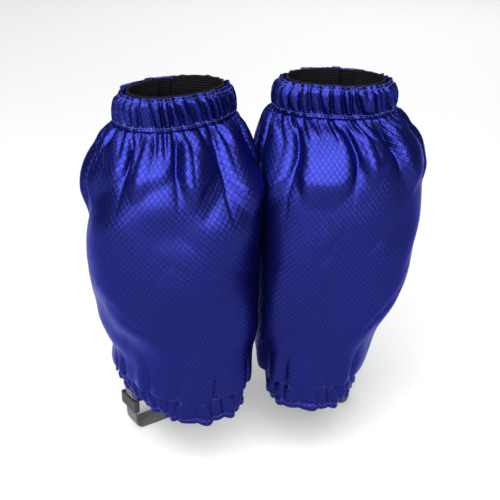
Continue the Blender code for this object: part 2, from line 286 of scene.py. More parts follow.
def ripstop(name):
    r = ripstopLook
    material, tree, shader = newMaterial(name, r["roughness"], metallic=r["silk"])
    shader.inputs["Specular IOR Level"].default_value = 1.0
    shader.inputs["Specular Tint"].default_value = srgb(r["shine"])
    uv = addNode(tree, "ShaderNodeUVMap")
    split = addNode(tree, "ShaderNodeSeparateXYZ", Vector=uv)
    across = addNode(tree, "ShaderNodeMath", "DIVIDE", i0=split, i1=r["diamondWide"])
    along = addNode(tree, "ShaderNodeMath", "DIVIDE", i0=split.outputs[1], i1=r["diamondTall"])
    lines = []
    for operation in ("ADD", "SUBTRACT"):
        way = addNode(tree, "ShaderNodeMath", operation, i0=across, i1=along)
        part = addNode(tree, "ShaderNodeMath", "FRACT", i0=way)
        fromMiddle = addNode(tree, "ShaderNodeMath", "SUBTRACT", i0=part, i1=0.5)
        near = addNode(tree, "ShaderNodeMath", "ABSOLUTE", i0=fromMiddle)
        lines.append(addNode(tree, "ShaderNodeMapRange", {"interpolation_type": "SMOOTHSTEP"}, Value=near,
                             From_Min=0.5 - r["yarnWidth"], From_Max=0.5 - r["yarnSoft"]))
    grid = addNode(tree, "ShaderNodeMath", "MAXIMUM", i0=lines[0], i1=lines[1])
    warp, weft = (wave(tree, output, r["weave"]) for output in split.outputs[:2])
    weave = addNode(tree, "ShaderNodeMath", "MULTIPLY", i0=warp, i1=weft)
    # painted shade: the darker shade colour is laid over the cloth in random cloudy patches
    cloudy = addNode(tree, "ShaderNodeTexNoise", Vector=uv, Scale=22.0, Detail=3.0, Roughness=0.55)
    shadedPatches = addNode(tree, "ShaderNodeMath", "MULTIPLY", i0=cloudy, i1=r["shadePatches"])
    base = addNode(tree, "ShaderNodeMix", {"data_type": "RGBA"}, i0=shadedPatches,
                   i6=srgb(r["ground"]), i7=srgb(r["shade"]))
    inked = addNode(tree, "ShaderNodeMath", "MULTIPLY", i0=grid, i1=r["yarnDark"])
    toned = addNode(tree, "ShaderNodeMix", {"data_type": "RGBA"}, i0=inked,
                    i6=base.outputs[2], i7=srgb(r["yarn"]))
    tree.links.new(toned.outputs[2], shader.inputs["Base Color"])
    emboss(tree, shader, 0.55, 0.00022, layered(tree, grid, weave, r["weaveHigh"]))
    polish(tree, shader, grid, r["roughness"], r["roughness"] - r["yarnPolish"])
    return material


# polyurethane coating on the cloth's back: smooth, darker than the face and slightly shiny
def coating(name):
    material, tree, shader = newMaterial(name, 0.5)
    uv = addNode(tree, "ShaderNodeUVMap")
    noise = addNode(tree, "ShaderNodeTexNoise", Vector=uv, Scale=140.0, Detail=2.0)
    tint(tree, shader, noise, "#14165A", "#1C1F70")
    emboss(tree, shader, 0.3, 0.00015, noise)
    return material


# covered rubber elastic, knitted: ribs round the leg every 2.2 mm, matte black
elasticLook = {"rib": 0.0022, "stitch": 0.0013, "face": "#09080E", "grooveShade": "#020203"}


def ribbedElastic(name):
    e = elasticLook
    material, tree, shader = newMaterial(name, 0.90)
    shader.inputs["Specular IOR Level"].default_value = 0.12
    split = addNode(tree, "ShaderNodeSeparateXYZ", Vector=addNode(tree, "ShaderNodeUVMap"))
    stitches = wave(tree, split, e["stitch"])
    height = layered(tree, wave(tree, split.outputs[1], e["rib"]), stitches, 0.35)
    raised = addNode(tree, "ShaderNodeMapRange", Value=height, From_Min=-1.2, From_Max=1.2)
    # painted shade: the grooves between the ribs get a darker colour than the rib faces
    tint(tree, shader, raised, e["grooveShade"], e["face"])
    emboss(tree, shader, 0.8, 0.0004, height)
    return material


# polypropylene webbing, woven: chevron ribs along its length and a firm bead at each edge
webbingLook = {"rib": 0.0016, "pick": 0.0021, "face": "#2B2B2F", "grooveShade": "#0E0E10"}


def webbing(name):
    w = webbingLook
    material, tree, shader = newMaterial(name, 0.66, sheen=0.2)
    split = addNode(tree, "ShaderNodeSeparateXYZ", Vector=addNode(tree, "ShaderNodeUVMap"))
    zig = addNode(tree, "ShaderNodeMath", "PINGPONG", i0=split.outputs[1], i1=w["rib"] * 2)
    slope = addNode(tree, "ShaderNodeMath", "ADD", i0=split, i1=zig)
    ribs = wave(tree, split.outputs[1], w["rib"])
    height = layered(tree, wave(tree, slope, w["pick"]), ribs, 0.6)
    raised = addNode(tree, "ShaderNodeMapRange", Value=height, From_Min=-1.4, From_Max=1.4)
    # painted shade: the grooves between the ribs get a darker colour than the rib faces
    tint(tree, shader, raised, w["grooveShade"], w["face"])
    emboss(tree, shader, 0.7, 0.0003, height)
    return material


# knitted pile of the closure tapes: fuzzy, light-absorbing black
def pile(name, tuft):
    material, tree, shader = newMaterial(name, 0.95, sheen=0.5)
    noise = grain(tree, 1.0 / tuft, 4.0, 0.7)
    tint(tree, shader, noise, "#060608", "#222227")
    emboss(tree, shader, 0.9, 0.0006, noise)
    return material


# acetal, injection moulded: even satin with a faint orange peel
def acetal(name):
    material, tree, shader = newMaterial(name, 0.42, ior=1.48, color="#17171A")
    noise = grain(tree, 1400.0, 2.0)
    emboss(tree, shader, 0.25, 0.0001, noise)
    polish(tree, shader, noise, 0.36, 0.5)
    return material


# stainless steel strip, rolled and tumbled: fine drawn lines and soft edges
def stainless(name):
    material, tree, shader = newMaterial(name, 0.3, metallic=1.0)
    coords = addNode(tree, "ShaderNodeTexCoord").outputs["Object"]
    drawn = addNode(tree, "ShaderNodeMapping", Vector=coords, Scale=(2600.0, 2600.0, 180.0))
    noise = addNode(tree, "ShaderNodeTexNoise", Vector=drawn, Scale=1.0, Detail=3.0)
    tint(tree, shader, noise, "#A9ABAE", "#D2D3D5")
    polish(tree, shader, noise, 0.22, 0.42)
    return material


# bonded polyester thread: close to the cloth's blue, slightly waxy, twisted and uneven in tone
def threadMaterial(name):
    material, tree, shader = newMaterial(name, 0.55, sheen=0.3)
    twist = grain(tree, 2600.0, 2.0, 0.6)
    tint(tree, shader, twist, "#0F1250", "#20247E")
    emboss(tree, shader, 0.6, 0.00008, twist)
    return material


look = {
    "ripstop": ripstop("ripstop_nylon_face"),
    "coating": coating("polyurethane_coated_back"),
    "elastic": ribbedElastic("knitted_ribbed_elastic"),
    "webbing": webbing("woven_polypropylene_webbing"),
    "loops": pile("brushed_loop_pile", 0.0011),
    "hooks": pile("nylon_hook_tape", 0.0016),
    "acetal": acetal("moulded_black_acetal"),
    "steel": stainless("tumbled_stainless_strip"),
    "thread": threadMaterial("blue_polyester_thread"),
}
print("materials made")


def intoScene(name, data):
    obj = bpy.data.objects.new(name, data)
    bpy.context.scene.collection.objects.link(obj)
    return obj


# a mesh from a grid of points, rows by columns; its back and its edges may be of a second material
def gridMesh(name, points, uvs, materials, thickness=0.0, backMaterial=False):
    rows, cols = points.shape[:2]
    mesh = bpy.data.meshes.new(name)
    index = np.arange(rows * cols).reshape(rows, cols)
    quads = np.stack([index[:-1, :-1], index[:-1, 1:], index[1:, 1:], index[1:, :-1]], -1).reshape(-1, 4)
    mesh.from_pydata(points.reshape(-1, 3).tolist(), [], quads.tolist())
    layer = mesh.uv_layers.new(name="UVMap")
    loops = np.empty(len(mesh.loops), np.int32)
    mesh.loops.foreach_get("vertex_index", loops)
    layer.data.foreach_set("uv", uvs.reshape(-1, 2)[loops].astype(np.float32).ravel())
    mesh.shade_smooth()
    for material in materials:
        mesh.materials.append(material)
    obj = intoScene(name, mesh)
    if thickness:
        solid = obj.modifiers.new("thickness", "SOLIDIFY")
        solid.thickness = thickness
        solid.offset = -1.0
        if backMaterial:
            solid.material_offset = 1
    return obj


def clothMesh(name, points, uvs, thickness):
    return gridMesh(name, points, uvs, [look["ripstop"], look["coating"]], thickness, True)


def applyModifiers(obj):
    graph = bpy.context.evaluated_depsgraph_get()
    mesh = bpy.data.meshes.new_from_object(obj.evaluated_get(graph))
    old = obj.data
    obj.modifiers.clear()
    obj.data = mesh
    bpy.data.meshes.remove(old)
    mesh.name = obj.name


def finishPiece(obj, body, nodes=()):
    if nodes:
        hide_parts(*nodes)
    if body:
        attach(obj, body)


def boxMesh(name, size, place=(0, 0, 0), rounding=0.0):
    mesh = bpy.data.meshes.new(name)
    shape = bmesh.new()
    bmesh.ops.create_cube(shape, size=1.0)
    bmesh.ops.scale(shape, vec=size, verts=shape.verts)
    bmesh.ops.translate(shape, vec=place, verts=shape.verts)
    if rounding:
        bmesh.ops.bevel(shape, geom=shape.edges[:], offset=rounding, segments=3, affect="EDGES")
    shape.to_mesh(mesh)
    shape.free()
    return mesh


# cuts the blocks out of a piece, breaks its edges and applies all its modifiers
def cutAndSoften(obj, blocks):
    cutters = []
    for block in blocks:
        cutter = intoScene("cutter", block)
        cutting = obj.modifiers.new("cut", "BOOLEAN")
        cutting.operation = "DIFFERENCE"
        cutting.object = cutter
        cutters.append(cutter)
    soften = obj.modifiers.new("soften", "BEVEL")
    soften.width = 0.00025
    soften.segments = 2
    soften.angle_limit = math.radians(50)
    applyModifiers(obj)
    for cutter in cutters:
        bpy.data.objects.remove(cutter)


# the cloth of a gaiter: shirred band, bloused body and gathered hem
cloth = {
    "flatWidth": 0.405,         # metres round, before it is gathered
    "thickness": 0.00045,
    "bandGathers": 31, "bandDepth": 0.0048, "bandSlant": 30.0,
    "tongues": 9, "tongueDepth": 0.0090, "tongueLength": 0.066,
    "hemGathers": 27, "hemDepth": 0.0036,
    "hemPuckers": 12, "puckerDepth": 0.0042, "puckerLength": 0.044,
    "folds": 0.0056,
    "rollRadius": 0.0026,
}


def bandPhase(way, height, seed):
    bunch = 0.55 * wander(way, seed, 0.23) + 0.25 * wander(way, seed + 1, 0.09)
    slant = cloth["bandSlant"] * (height - tube["bandLow"]) * (1 + 0.5 * wander(way, seed + 2, 0.3))
    return cloth["bandGathers"] * way + bunch + slant


def hemPucker(way, seed):
    return cloth["hemPuckers"] * way + 0.5 * wander(way, seed + 11, 0.26)


def hemGather(way, seed):
    return cloth["hemGathers"] * way + 0.5 * wander(way, seed + 15, 0.24)


def ridge(phase, power=1.0):
    return np.abs(np.sin(math.pi * phase)) ** power


def gatherSize(phase, seed, spread):
    table = np.random.default_rng(seed).uniform(1 - spread, 1 + spread, 97)
    return table[np.mod(np.floor(phase).astype(int), 97)]


# how far the cloth stands off the plain tube, at a share of the way round and a height
def clothOff(way, height, seed):
    low, top = tube["bandLow"], tube["bandTop"]
    c = cloth
    phase = bandPhase(way, height, seed)
    small = ridge(phase, 0.8) * gatherSize(phase, seed + 3, 0.45)
    inBand = smooth(height, low - 0.001, low + 0.004)
    t = (height - low) / (top - low)
    swell = np.sin(math.pi * np.clip(t / 0.86, 0, 1)) ** 0.6
    lip = smooth(t, 0.86, 0.93)
    band = c["bandDepth"] * small * (0.62 + 0.38 * swell) * (1 - 0.35 * lip) + 0.0005 * swell - 0.0034
    below = low - height
    # tongues of cloth that spread from the gathers, each with a round end
    fan = c["tongues"] * way + 0.42 * wander(way, seed + 5, 0.31) + 1.2 * below * wander(way, seed + 6, 0.27)
    bump = ridge(fan, 0.55)
    length = c["tongueLength"] * gatherSize(fan, seed + 8, 0.28)
    tip = below / (length * (0.60 + 0.40 * ridge(fan, 1.3)))
    rise = smooth(below, 0.0, 0.013)
    sail = (0.40 + 0.60 * np.clip(tip / 0.70, 0, 1)) * (1 - smooth(tip, 0.70, 1.04))
    tongue = c["tongueDepth"] * gatherSize(fan, seed + 7, 0.25) * (bump - 0.35) * rise * sail
    valley = -0.0034 * (1 - bump) * rise * (1 - smooth(below / length, 0.45, 1.15))
    pleat = 0.0034 * (small - 0.4) * (1 - smooth(below, 0.004, 0.026)) * smooth(below, -0.001, 0.004)
    split = 0.0016 * (ridge(2.6 * fan + 0.3, 0.8) - 0.5) * rise * (1 - smooth(below, 0.016, 0.055))
    tongue = tongue + valley
    # slack folds across the body
    metres = way * c["flatWidth"]
    rng = np.random.default_rng(seed + 20)
    slack = np.zeros_like(way)
    for k in range(7):
        angle = rng.uniform(-1.0, 1.0)
        wave = rng.uniform(0.055, 0.13)
        run = metres * math.cos(angle) + height * math.sin(angle)
        run = run + 0.008 * wander(height, seed + 30 + k, 0.12)
        slack = slack + np.sin(2 * math.pi * run / wave + rng.uniform(0, 6.28)) * wave / 0.13
    bodyOnly = smooth(below, 0.018, 0.07) * smooth(height, tube["hemTop"] + 0.004, tube["hemTop"] + 0.06)
    slack = c["folds"] * 0.33 * slack * bodyOnly
    crease = np.zeros_like(way)
    for k in range(5):
        angle = rng.uniform(0.5, 1.1) * (1 if k % 2 else -1)
        wave = rng.uniform(0.05, 0.09)
        run = metres * math.cos(angle) + height * math.sin(angle)
        line = np.abs(np.sin(math.pi * run / wave + rng.uniform(0, 3.1)))
        place = smooth(wander(metres + height * 0.7, seed + 50 + k, 0.21), 0.0, 0.6)
        crease = crease + (np.exp(-(line / 0.16) ** 2)) * place
    crease = -0.0012 * crease * bodyOnly
    # puckers that rise from the hem
    up = height - tube["hemTop"]
    pucker = hemPucker(way, seed) + 1.2 * up * wander(way, seed + 12, 0.2)
    reach = c["puckerLength"] * (0.6 + 0.6 * gatherSize(pucker, seed + 13, 0.4))
    drawn = c["puckerDepth"] * gatherSize(pucker, seed + 14, 0.3) * (ridge(pucker, 0.7) - 0.5) * (
        1 - smooth(up / reach, 0.1, 1.1)) * smooth(up, -0.006, 0.004)
    body = tongue + pleat + split + slack + crease + drawn
    # gathers of the hem band
    hemPhase = hemGather(way, seed) + 12 * up * wander(way, seed + 16, 0.3)
    h = (height - tube["hemLow"]) / (tube["hemTop"] - tube["hemLow"])
    hem = c["hemDepth"] * ridge(hemPhase, 0.85) * gatherSize(hemPhase, seed + 17, 0.4) * (
            0.55 + 0.45 * np.sin(math.pi * np.clip(h, 0, 1))) - 0.0016
    inHem = 1 - smooth(height, tube["hemTop"] - 0.002, tube["hemTop"] + 0.002)
    return band * inBand + body * (1 - inBand) * (1 - inHem) + hem * inHem


def outward(base, normal):
    middle = base.mean(axis=(0, 1))
    flat = base - middle
    flat[..., 2] = 0
    return normal if (normal * flat).sum() > 0 else -normal


def keepApart(points, side):
    # the two bodies rest against each other and flatten there
    x = points[..., 0] * side
    limit, soft = 0.0003, 0.0015
    start = limit + soft
    pressed = np.where(x < start, limit + soft * np.exp((np.minimum(x, start) - limit - soft) / soft), x)
    out = points.copy()
    out[..., 0] = pressed * side
    return out


# 0 under the flap and at its hinge, where the cloth is flatter, 1 elsewhere
def freeShare(way):
    return smooth(way, 0.075, 0.110) * (1 - smooth(way, 0.970, 1.0))


# lays a grid of (way round, height, extra offset) over the tube, with the cloth's own folds
def layCloth(way, height, extra, seed, side):
    angle = angleRound(height, way, side)
    base = tubePoint(height, angle, 0.0, side)
    step = 0.0008
    du = tubePoint(height, angle + 0.004, 0.0, side) - tubePoint(height, angle - 0.004, 0.0, side)
    dv = tubePoint(height + step, angle, 0.0, side) - tubePoint(height - step, angle, 0.0, side)
    normal = outward(base, unit(np.cross(dv, du)))
    off = clothOff(way, height, seed) * (0.14 + 0.86 * freeShare(way)) + extra
    points = base + normal * off[..., None]
    return keepApart(toWorld(points, side), side)


def wayGrid(count, heights):
    way = np.linspace(0, 1, count)[None, :].repeat(len(heights), 0)
    return way, np.asarray(heights)[:, None].repeat(count, 1)


# the cloth's flat coordinates: round the leg, and each row's own height
def flatUvs(way, heights):
    along = way[:1].repeat(len(heights), 0) * cloth["flatWidth"]
    return np.stack([along, np.asarray(heights)[:, None].repeat(way.shape[1], 1)], -1)


# rows of points inside an edge: how far in from it and how far up
def foldedRim(edge, steps):
    inward = edge.mean(axis=(0, 1)) - edge
    inward[..., 2] = 0
    inward = unit(inward)
    return [edge + inward * inwards + np.array([0, 0, up]) for inwards, up in steps]


def bandCloth(label, side, seed):
    low, top = tube["bandLow"], tube["bandTop"]
    rows = 34
    heights = np.concatenate([[low - 0.0012], np.linspace(low, top, rows)])
    way, height = wayGrid(430, heights)
    phase = bandPhase(way, height, seed)
    # the folded edge at the top waves in and out, and up and down with the gathers
    t = (height - low) / (top - low)
    lip = smooth(t, 0.84, 1.0)
    extra = lip * (0.0006 * np.sin(2 * math.pi * phase * 0.5 + 1.0) - 0.0016)
    extra = extra - 0.0009 * np.exp(-((t - 0.87) / 0.035) ** 2)
    extra[0] -= 0.0012
    points = layCloth(way, height, extra, seed, side)
    points[..., 2] += lip * 0.0009 * (ridge(phase, 0.8) + 0.5 * wander(way, seed + 41, 0.2))
    # close the folded edge over the elastic
    rim = foldedRim(points[-1:], [(0.0009, 0.0002), (0.0014, -0.0012), (0.0013, -0.0040)])
    points = np.concatenate([points] + rim, 0)
    vs = np.concatenate([heights, [top + 0.001, top + 0.003, top + 0.006]])
    return clothMesh(label + "band_cloth", points, flatUvs(way, vs), cloth["thickness"]), points


def bodyCloth(label, side, seed):
    top, hem = tube["bandLow"], tube["hemTop"]
    straight = np.linspace(top - 0.0006, hem + 0.0070, 118)
    turns = np.linspace(0, math.radians(165), 10)[1:]
    heights = np.concatenate([straight, np.full(len(turns), hem + 0.0070)])
    way, height = wayGrid(300, heights)
    scallop = 0.75 + 0.45 * ridge(hemPucker(way, seed), 0.8)
    scallop = scallop + 0.25 * wander(way, seed + 61, 0.35)
    scallop = scallop * (0.30 + 0.70 * freeShare(way))
    radius = cloth["rollRadius"] * scallop
    billow = smooth(-height, -(hem + 0.034), -(hem + 0.0070))
    extra = billow * (radius + 0.0006)
    drop = np.zeros_like(height)
    for k, turn in enumerate(turns):
        row = len(straight) + k
        extra[row] = 0.0006 + radius[row] * math.cos(turn)
        drop[row] = radius[row] * math.sin(turn)
    points = layCloth(way, height, extra, seed, side)
    points[..., 2] -= drop + billow * 0.0010 * (scallop - 0.6)
    fall = np.concatenate([straight, hem + 0.0070 - np.cumsum(np.full(len(turns), 0.0016))])
    return clothMesh(label + "body_cloth", points[::-1], flatUvs(way, fall)[::-1], cloth["thickness"])


def hemCloth(label, side, seed):
    low, top = tube["hemLow"], tube["hemTop"]
    heights = np.linspace(low - 0.0034, top + 0.0050, 30)
    way, height = wayGrid(400, heights)
    t = (height - low) / (top - low)
    phase = hemGather(way, seed)
    skirt = 1 - smooth(t, 0.0, 0.22)
    extra = skirt * 0.0012 * np.sin(2 * math.pi * phase * 0.5) - 0.0010 * np.exp(-((t - 0.2) / 0.05) ** 2)
    extra = extra - 0.0012 * smooth(t, 0.85, 1.1)
    points = layCloth(way, height, extra, seed, side)
    points[..., 2] -= skirt * 0.0009 * (ridge(phase, 0.8) - 0.3 + 0.5 * wander(way, seed + 71, 0.3))
    rim = foldedRim(points[:1], [(0.0019, 0.0030), (0.0017, 0.0008), (0.0008, -0.0003)])
    points = np.concatenate(rim + [points], 0)
    vs = np.concatenate([[low - 0.005, low - 0.002, low - 0.001], heights])
    return clothMesh(label + "hem_cloth", points, flatUvs(way, vs), cloth["thickness"]), points


# elastic inside a band, in its own shade
def liningRing(label, name, span, depth, seed, side):
    low, high = span
    heights = np.linspace(low, high, 14)
    way, height = wayGrid(360, heights)
    angle = angleRound(height, way, side)
    points = tubePoint(height, angle, -depth, side)
    off = 0.0003 * wander(way, seed + 80, 0.11)
    off = off + 0.0002 * np.sin(2 * math.pi * way * cloth["bandGathers"] / 2)
    flat = points - points.mean(axis=(0, 1))
    flat[..., 2] = 0
    ribs = 0.00025 * np.sin(2 * math.pi * height / elasticLook["rib"])
    points = toWorld(points + unit(flat) * (off + ribs)[..., None], side)
    uv = np.stack([way * 0.29, height], -1)
    obj = gridMesh(label + name + "_elastic_ring", points, uv, [look["elastic"]], 0.0009)
    applyModifiers(obj)
    finishPiece(obj, "gaiters", [label + name + "_elastic"])


def gaiterCloth(label, side, seed):
    bandObj, bandPoints = bandCloth(label, side, seed)
    bodyObj = bodyCloth(label, side, seed)
    hemObj, hemPoints = hemCloth(label, side, seed)
    for obj, node in ((bandObj, "top_band"), (bodyObj, "body_shell"), (hemObj, "hem_band")):
        applyModifiers(obj)
        finishPiece(obj, "gaiters", [label + node])
    return bandPoints, hemPoints


# the front closure, metres. wrap: how far the flap's cloth runs past the hinge; stand: how far
# its free edge stands off the tube, over the two tapes
flap = {
    "wrap": 0.0045,
    "stand": 0.0044, "rise": -0.0004, "cornerRise": 0.0003, "topDraw": 0.0030,
    "thickness": 0.0009, "fold": 0.008, "puckers": 0.0007,
    "tapeWidth": 0.024, "tapeEdge": -0.003,
    "hookPitch": 0.0016,
}


def frontPoints(height, across, off, side):
    return toWorld(tubePoint(height, angleAcross(height, across, side), off, side), side)


def flapOff(across):
    return 0.0011 + (flap["stand"] - 0.0011) * smooth(-across, -tube["hingeX"], -0.002)


def frontUvs(across, height):
    return np.stack([across, height], -1)


def acrossGrid(left, right, columns, heights):
    across = np.linspace(right, left, columns)[None, :].repeat(len(heights), 0)
    return across, np.asarray(heights)[:, None].repeat(columns, 1)


def bendAtHinge(obj, label, side):
    joint = [j for j in frame["record"]["behaviour"]["joints"] if j["name"] == label + "flap_peel"][0]
    axis = Vector(joint["axis"]).normalized()
    turn = -side * stance["toeOut"]
    right = Vector((math.cos(turn), math.sin(turn), 0))
    right = (right - right.dot(axis) * axis).normalized()
    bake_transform(obj)


def flapCloth(label, side, seed):
    f = flap
    heights = np.linspace(tube["hemLow"] - 0.0005, tube["bandTop"] + f["rise"], 190)
    across, height = acrossGrid(tube["freeX"], tube["hingeX"] + f["wrap"], 64, heights)
    nearEnds = smooth(np.abs(height - 0.202), 0.110, 0.146)
    edge = across - tube["freeX"]
    ripple = wander(height, seed + 90, 0.017) * (0.35 + 0.65 * nearEnds)
    atBand = smooth(height, tube["bandLow"] - 0.005, tube["bandLow"] + 0.004)
    drawn = f["topDraw"] * atBand * smooth(-across, -0.012, 0.0)
    off = flapOff(across) - drawn + f["puckers"] * ripple * np.exp(-((edge - 0.006) / 0.010) ** 2)
    off = off + 0.0005 * (1 - smooth(edge, f["fold"] - 0.0008, f["fold"] + 0.0008))
    off = off + 0.0012 * nearEnds * wander(across, seed + 91, 0.013) * (1 - smooth(across, 0.006, 0.014))
    off = off + 0.0008 * wander(height + 0.6 * across, seed + 92, 0.062) * smooth(edge, 0.0, 0.01)
    for line in (tube["hemTop"], tube["bandLow"]):
        off = off - 0.0007 * np.exp(-((height - line) / 0.0016) ** 2)
    points = frontPoints(height, across, off, side)
    top = smooth(height, tube["bandTop"] - 0.012, tube["bandTop"])
    points[..., 2] += f["cornerRise"] * top * (1 - smooth(edge, 0.0, 0.012))
    obj = clothMesh(label + "flap_cloth", points, frontUvs(across, height), f["thickness"])
    applyModifiers(obj)
    finishPiece(obj, None, [label + "front_flap"])
    bendAtHinge(obj, label, side)
    return points


# the black lining inside the flap's end at the band
def flapLining(label, side):
    heights = np.linspace(tube["bandLow"] + 0.001, tube["bandTop"] + flap["rise"] - 0.0006, 16)
    across, height = acrossGrid(tube["freeX"] + 0.002, tube["hingeX"] + 0.002, 36, heights)
    ribs = 0.0002 * np.sin(2 * math.pi * height / elasticLook["rib"])
    off = flapOff(across) - flap["topDraw"] * smooth(-across, -0.012, 0.0) - 0.0016 + ribs
    points = frontPoints(height, across, off, side)
    obj = gridMesh(label + "flap_lining", points, frontUvs(across, height), [look["elastic"]], 0.0008)
    applyModifiers(obj)
    bendAtHinge(obj, label, side)


# cloth folded over the under edge, from inside the leg to its outside
def edgeBinding(label, side):
    heights = np.linspace(tube["hemLow"], tube["bandTop"] + 0.0008, 110)
    profile = [(-0.0052, 0), (-0.0040, 0), (-0.0025, 0), (-0.0010, 0), (-0.0001, 0.15), (0.0003, 0.5),
               (-0.0001, 0.85), (-0.0010, 1), (-0.0025, 1), (-0.0045, 1), (-0.0070, 1)]
    across = np.array([q[0] for q in profile])[None, :].repeat(len(heights), 0)
    lean = np.array([q[1] for q in profile])[None, :]
    height = heights[:, None].repeat(len(profile), 1)
    banded = smooth(np.abs(height - 0.202), 0.122, 0.128)
    inside = -0.0014 - 0.0058 * banded
    outside = 0.0006 + 0.0002 * wander(height, 5, 0.012)
    off = inside * (1 - lean) + outside * lean
    points = frontPoints(height, across, off, side)
    walked = walkedAlong(points[0])
    uv = np.stack([walked[None, :].repeat(len(heights), 0), height], -1)
    obj = gridMesh(label + "edge_binding", points, uv, [look["ripstop"]], 0.0004)
    applyModifiers(obj)
    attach(obj, "gaiters")


# one moulded hook, a leaning stem with a bent tip, pointing up +Z
def hookBristle():
    mesh = bpy.data.meshes.new("hook_bristle")
    stem = [(0, 0, 0.0002), (0.00002, 0.0005, 0.00016), (0.00025, 0.0010, 0.00013),
            (0.00055, 0.00085, 0.00007)]
    verts, faces = [], []
    for x, z, r in stem:
        verts += [(x - r, -r, z), (x + r, -r, z), (x + r, r, z), (x - r, r, z)]
    for k in range(len(stem) - 1):
        for i in range(4):
            j = (i + 1) % 4
            faces.append((4 * k + i, 4 * k + j, 4 * k + 4 + j, 4 * k + 4 + i))
    faces.append(tuple(range(4 * len(stem) - 4, 4 * len(stem))))
    mesh.from_pydata(verts, [], faces)
    return bpy.data.objects.new("hook_bristle", mesh)


# a thread's stitch along X, sunk at its ends
def stitchShape():
    mesh = bpy.data.meshes.new("stitch")
    along = [(-1.0, 0.15), (-0.6, 0.9), (0.0, 1.0), (0.6, 0.9), (1.0, 0.15)]
    verts, faces = [], []
    for x, r in along:
        for i in range(6):
            turn = 2 * math.pi * i / 6
            lift = -0.5 * x * x
            verts.append((0.00100 * x, 0.00022 * r * math.cos(turn), 0.00022 * (r * math.sin(turn) + lift)))
    for k in range(len(along) - 1):
        for i in range(6):
            j = (i + 1) % 6
            faces.append((6 * k + i, 6 * k + 6 + i, 6 * k + 6 + j, 6 * k + j))
    faces += [tuple(range(5, -1, -1)), tuple(range(24, 30))]
    faces = [tuple(reversed(face)) for face in faces]
    mesh.from_pydata(verts, [], faces)
    mesh.shade_smooth()
    return bpy.data.objects.new("stitch", mesh)


# Geometry Nodes: copies a small shape onto every point of a mesh, turned by the point's own
# normal and direction attributes
def copyTree(name, shape, material):
    tree = bpy.data.node_groups.new(name, "GeometryNodeTree")
    tree.interface.new_socket("Geometry", in_out="INPUT", socket_type="NodeSocketGeometry")
    tree.interface.new_socket("Size", in_out="INPUT", socket_type="NodeSocketFloat").default_value = 1.0
    tree.interface.new_socket("Uneven", in_out="INPUT", socket_type="NodeSocketFloat").default_value = 0.1
    tree.interface.new_socket("Seed", in_out="INPUT", socket_type="NodeSocketInt").default_value = 3
    tree.interface.new_socket("Geometry", in_out="OUTPUT", socket_type="NodeSocketGeometry")
    given = addNode(tree, "NodeGroupInput")
    out = addNode(tree, "NodeGroupOutput")
    source = addNode(tree, "GeometryNodeObjectInfo", Object=shape)
    up = addNode(tree, "GeometryNodeInputNamedAttribute", {"data_type": "FLOAT_VECTOR"}, Name="up")
    ahead = addNode(tree, "GeometryNodeInputNamedAttribute", {"data_type": "FLOAT_VECTOR"}, Name="ahead")
    stand = addNode(tree, "FunctionNodeAlignRotationToVector", {"axis": "Z"}, Vector=up.outputs[0])
    turned = addNode(tree, "FunctionNodeAlignRotationToVector", {"axis": "X", "pivot_axis": "Z"},
                     Rotation=stand.outputs[0], Vector=ahead.outputs[0])
    size, uneven = given.outputs["Size"], given.outputs["Uneven"]
    low = addNode(tree, "ShaderNodeMath", "SUBTRACT", i0=size, i1=uneven)
    high = addNode(tree, "ShaderNodeMath", "ADD", i0=size, i1=uneven)
    varied = addNode(tree, "FunctionNodeRandomValue", {"data_type": "FLOAT"}, i2=low, i3=high,
                     Seed=given.outputs["Seed"])
    copies = addNode(tree, "GeometryNodeInstanceOnPoints", Points=given.outputs["Geometry"],
                     Instance=source.outputs["Geometry"], Rotation=turned.outputs[0], Scale=varied.outputs[1])
    real = addNode(tree, "GeometryNodeRealizeInstances", Geometry=copies.outputs[0])
    painted = addNode(tree, "GeometryNodeSetMaterial", Geometry=real.outputs[0], Material=material)
    tree.links.new(painted.outputs[0], out.inputs[0])
    return tree


trees = {
    "stitch": copyTree("stitch_rows", stitchShape(), look["thread"]),
    "hook": copyTree("hook_field", hookBristle(), look["hooks"]),
}


def copyOnto(name, kind, points, ups, aheads, uneven, seed):
    mesh = bpy.data.meshes.new(name)
    mesh.from_pydata(points.tolist(), [], [])
    for key, values in (("up", ups), ("ahead", aheads)):
        attribute = mesh.attributes.new(key, "FLOAT_VECTOR", "POINT")
        attribute.data.foreach_set("vector", np.asarray(values, np.float32).ravel())
    obj = intoScene(name, mesh)
    modifier = obj.modifiers.new("copies", "NODES")
    modifier.node_group = trees[kind]
    sockets = {i.name: i.identifier for i in trees[kind].interface.items_tree if i.in_out == "INPUT"}
    modifier[sockets["Uneven"]] = uneven
    modifier[sockets["Seed"]] = seed
    applyModifiers(obj)
    return obj


# pitch and lift are metres; the rows and columns count the cloth grids' own, from their lower
# edge and from the flap's hinge side
sewing = {
    "pitch": 0.0027, "lift": 0.00012, "uneven": 0.08,
    "bandRows": (4, 31), "hemRows": (8, -6),
    "flapColumns": (62, 52, 8, 3), "flapRows": (12, 176), "flapSpan": slice(9, 63),
}


# stitches at an even pitch along a line of points; ups are the cloth's normals there
def stitchRow(line, ups):
    pitch = sewing["pitch"]
    walked = walkedAlong(line)
    at = np.arange(pitch, walked[-1] - pitch, pitch)
    place = np.stack([np.interp(at, walked, line[:, k]) for k in range(3)], -1)
    up = np.stack([np.interp(at, walked, ups[:, k]) for k in range(3)], -1)
    return place, unit(up), np.gradient(place, axis=0)


def sew(name, rows, seed):
    places, ups, aheads = (np.concatenate([row[k] for row in rows]) for k in range(3))
    obj = copyOnto(name, "stitch", places, ups, aheads, sewing["uneven"], seed)
    return obj


# stitches along a row or a column of a grid of points, just above the cloth
def surfaceRow(points, normals, part):
    return stitchRow(points[part] + normals[part] * sewing["lift"], normals[part])


def outNormals(points):
    return outward(points, gridNormals(points))


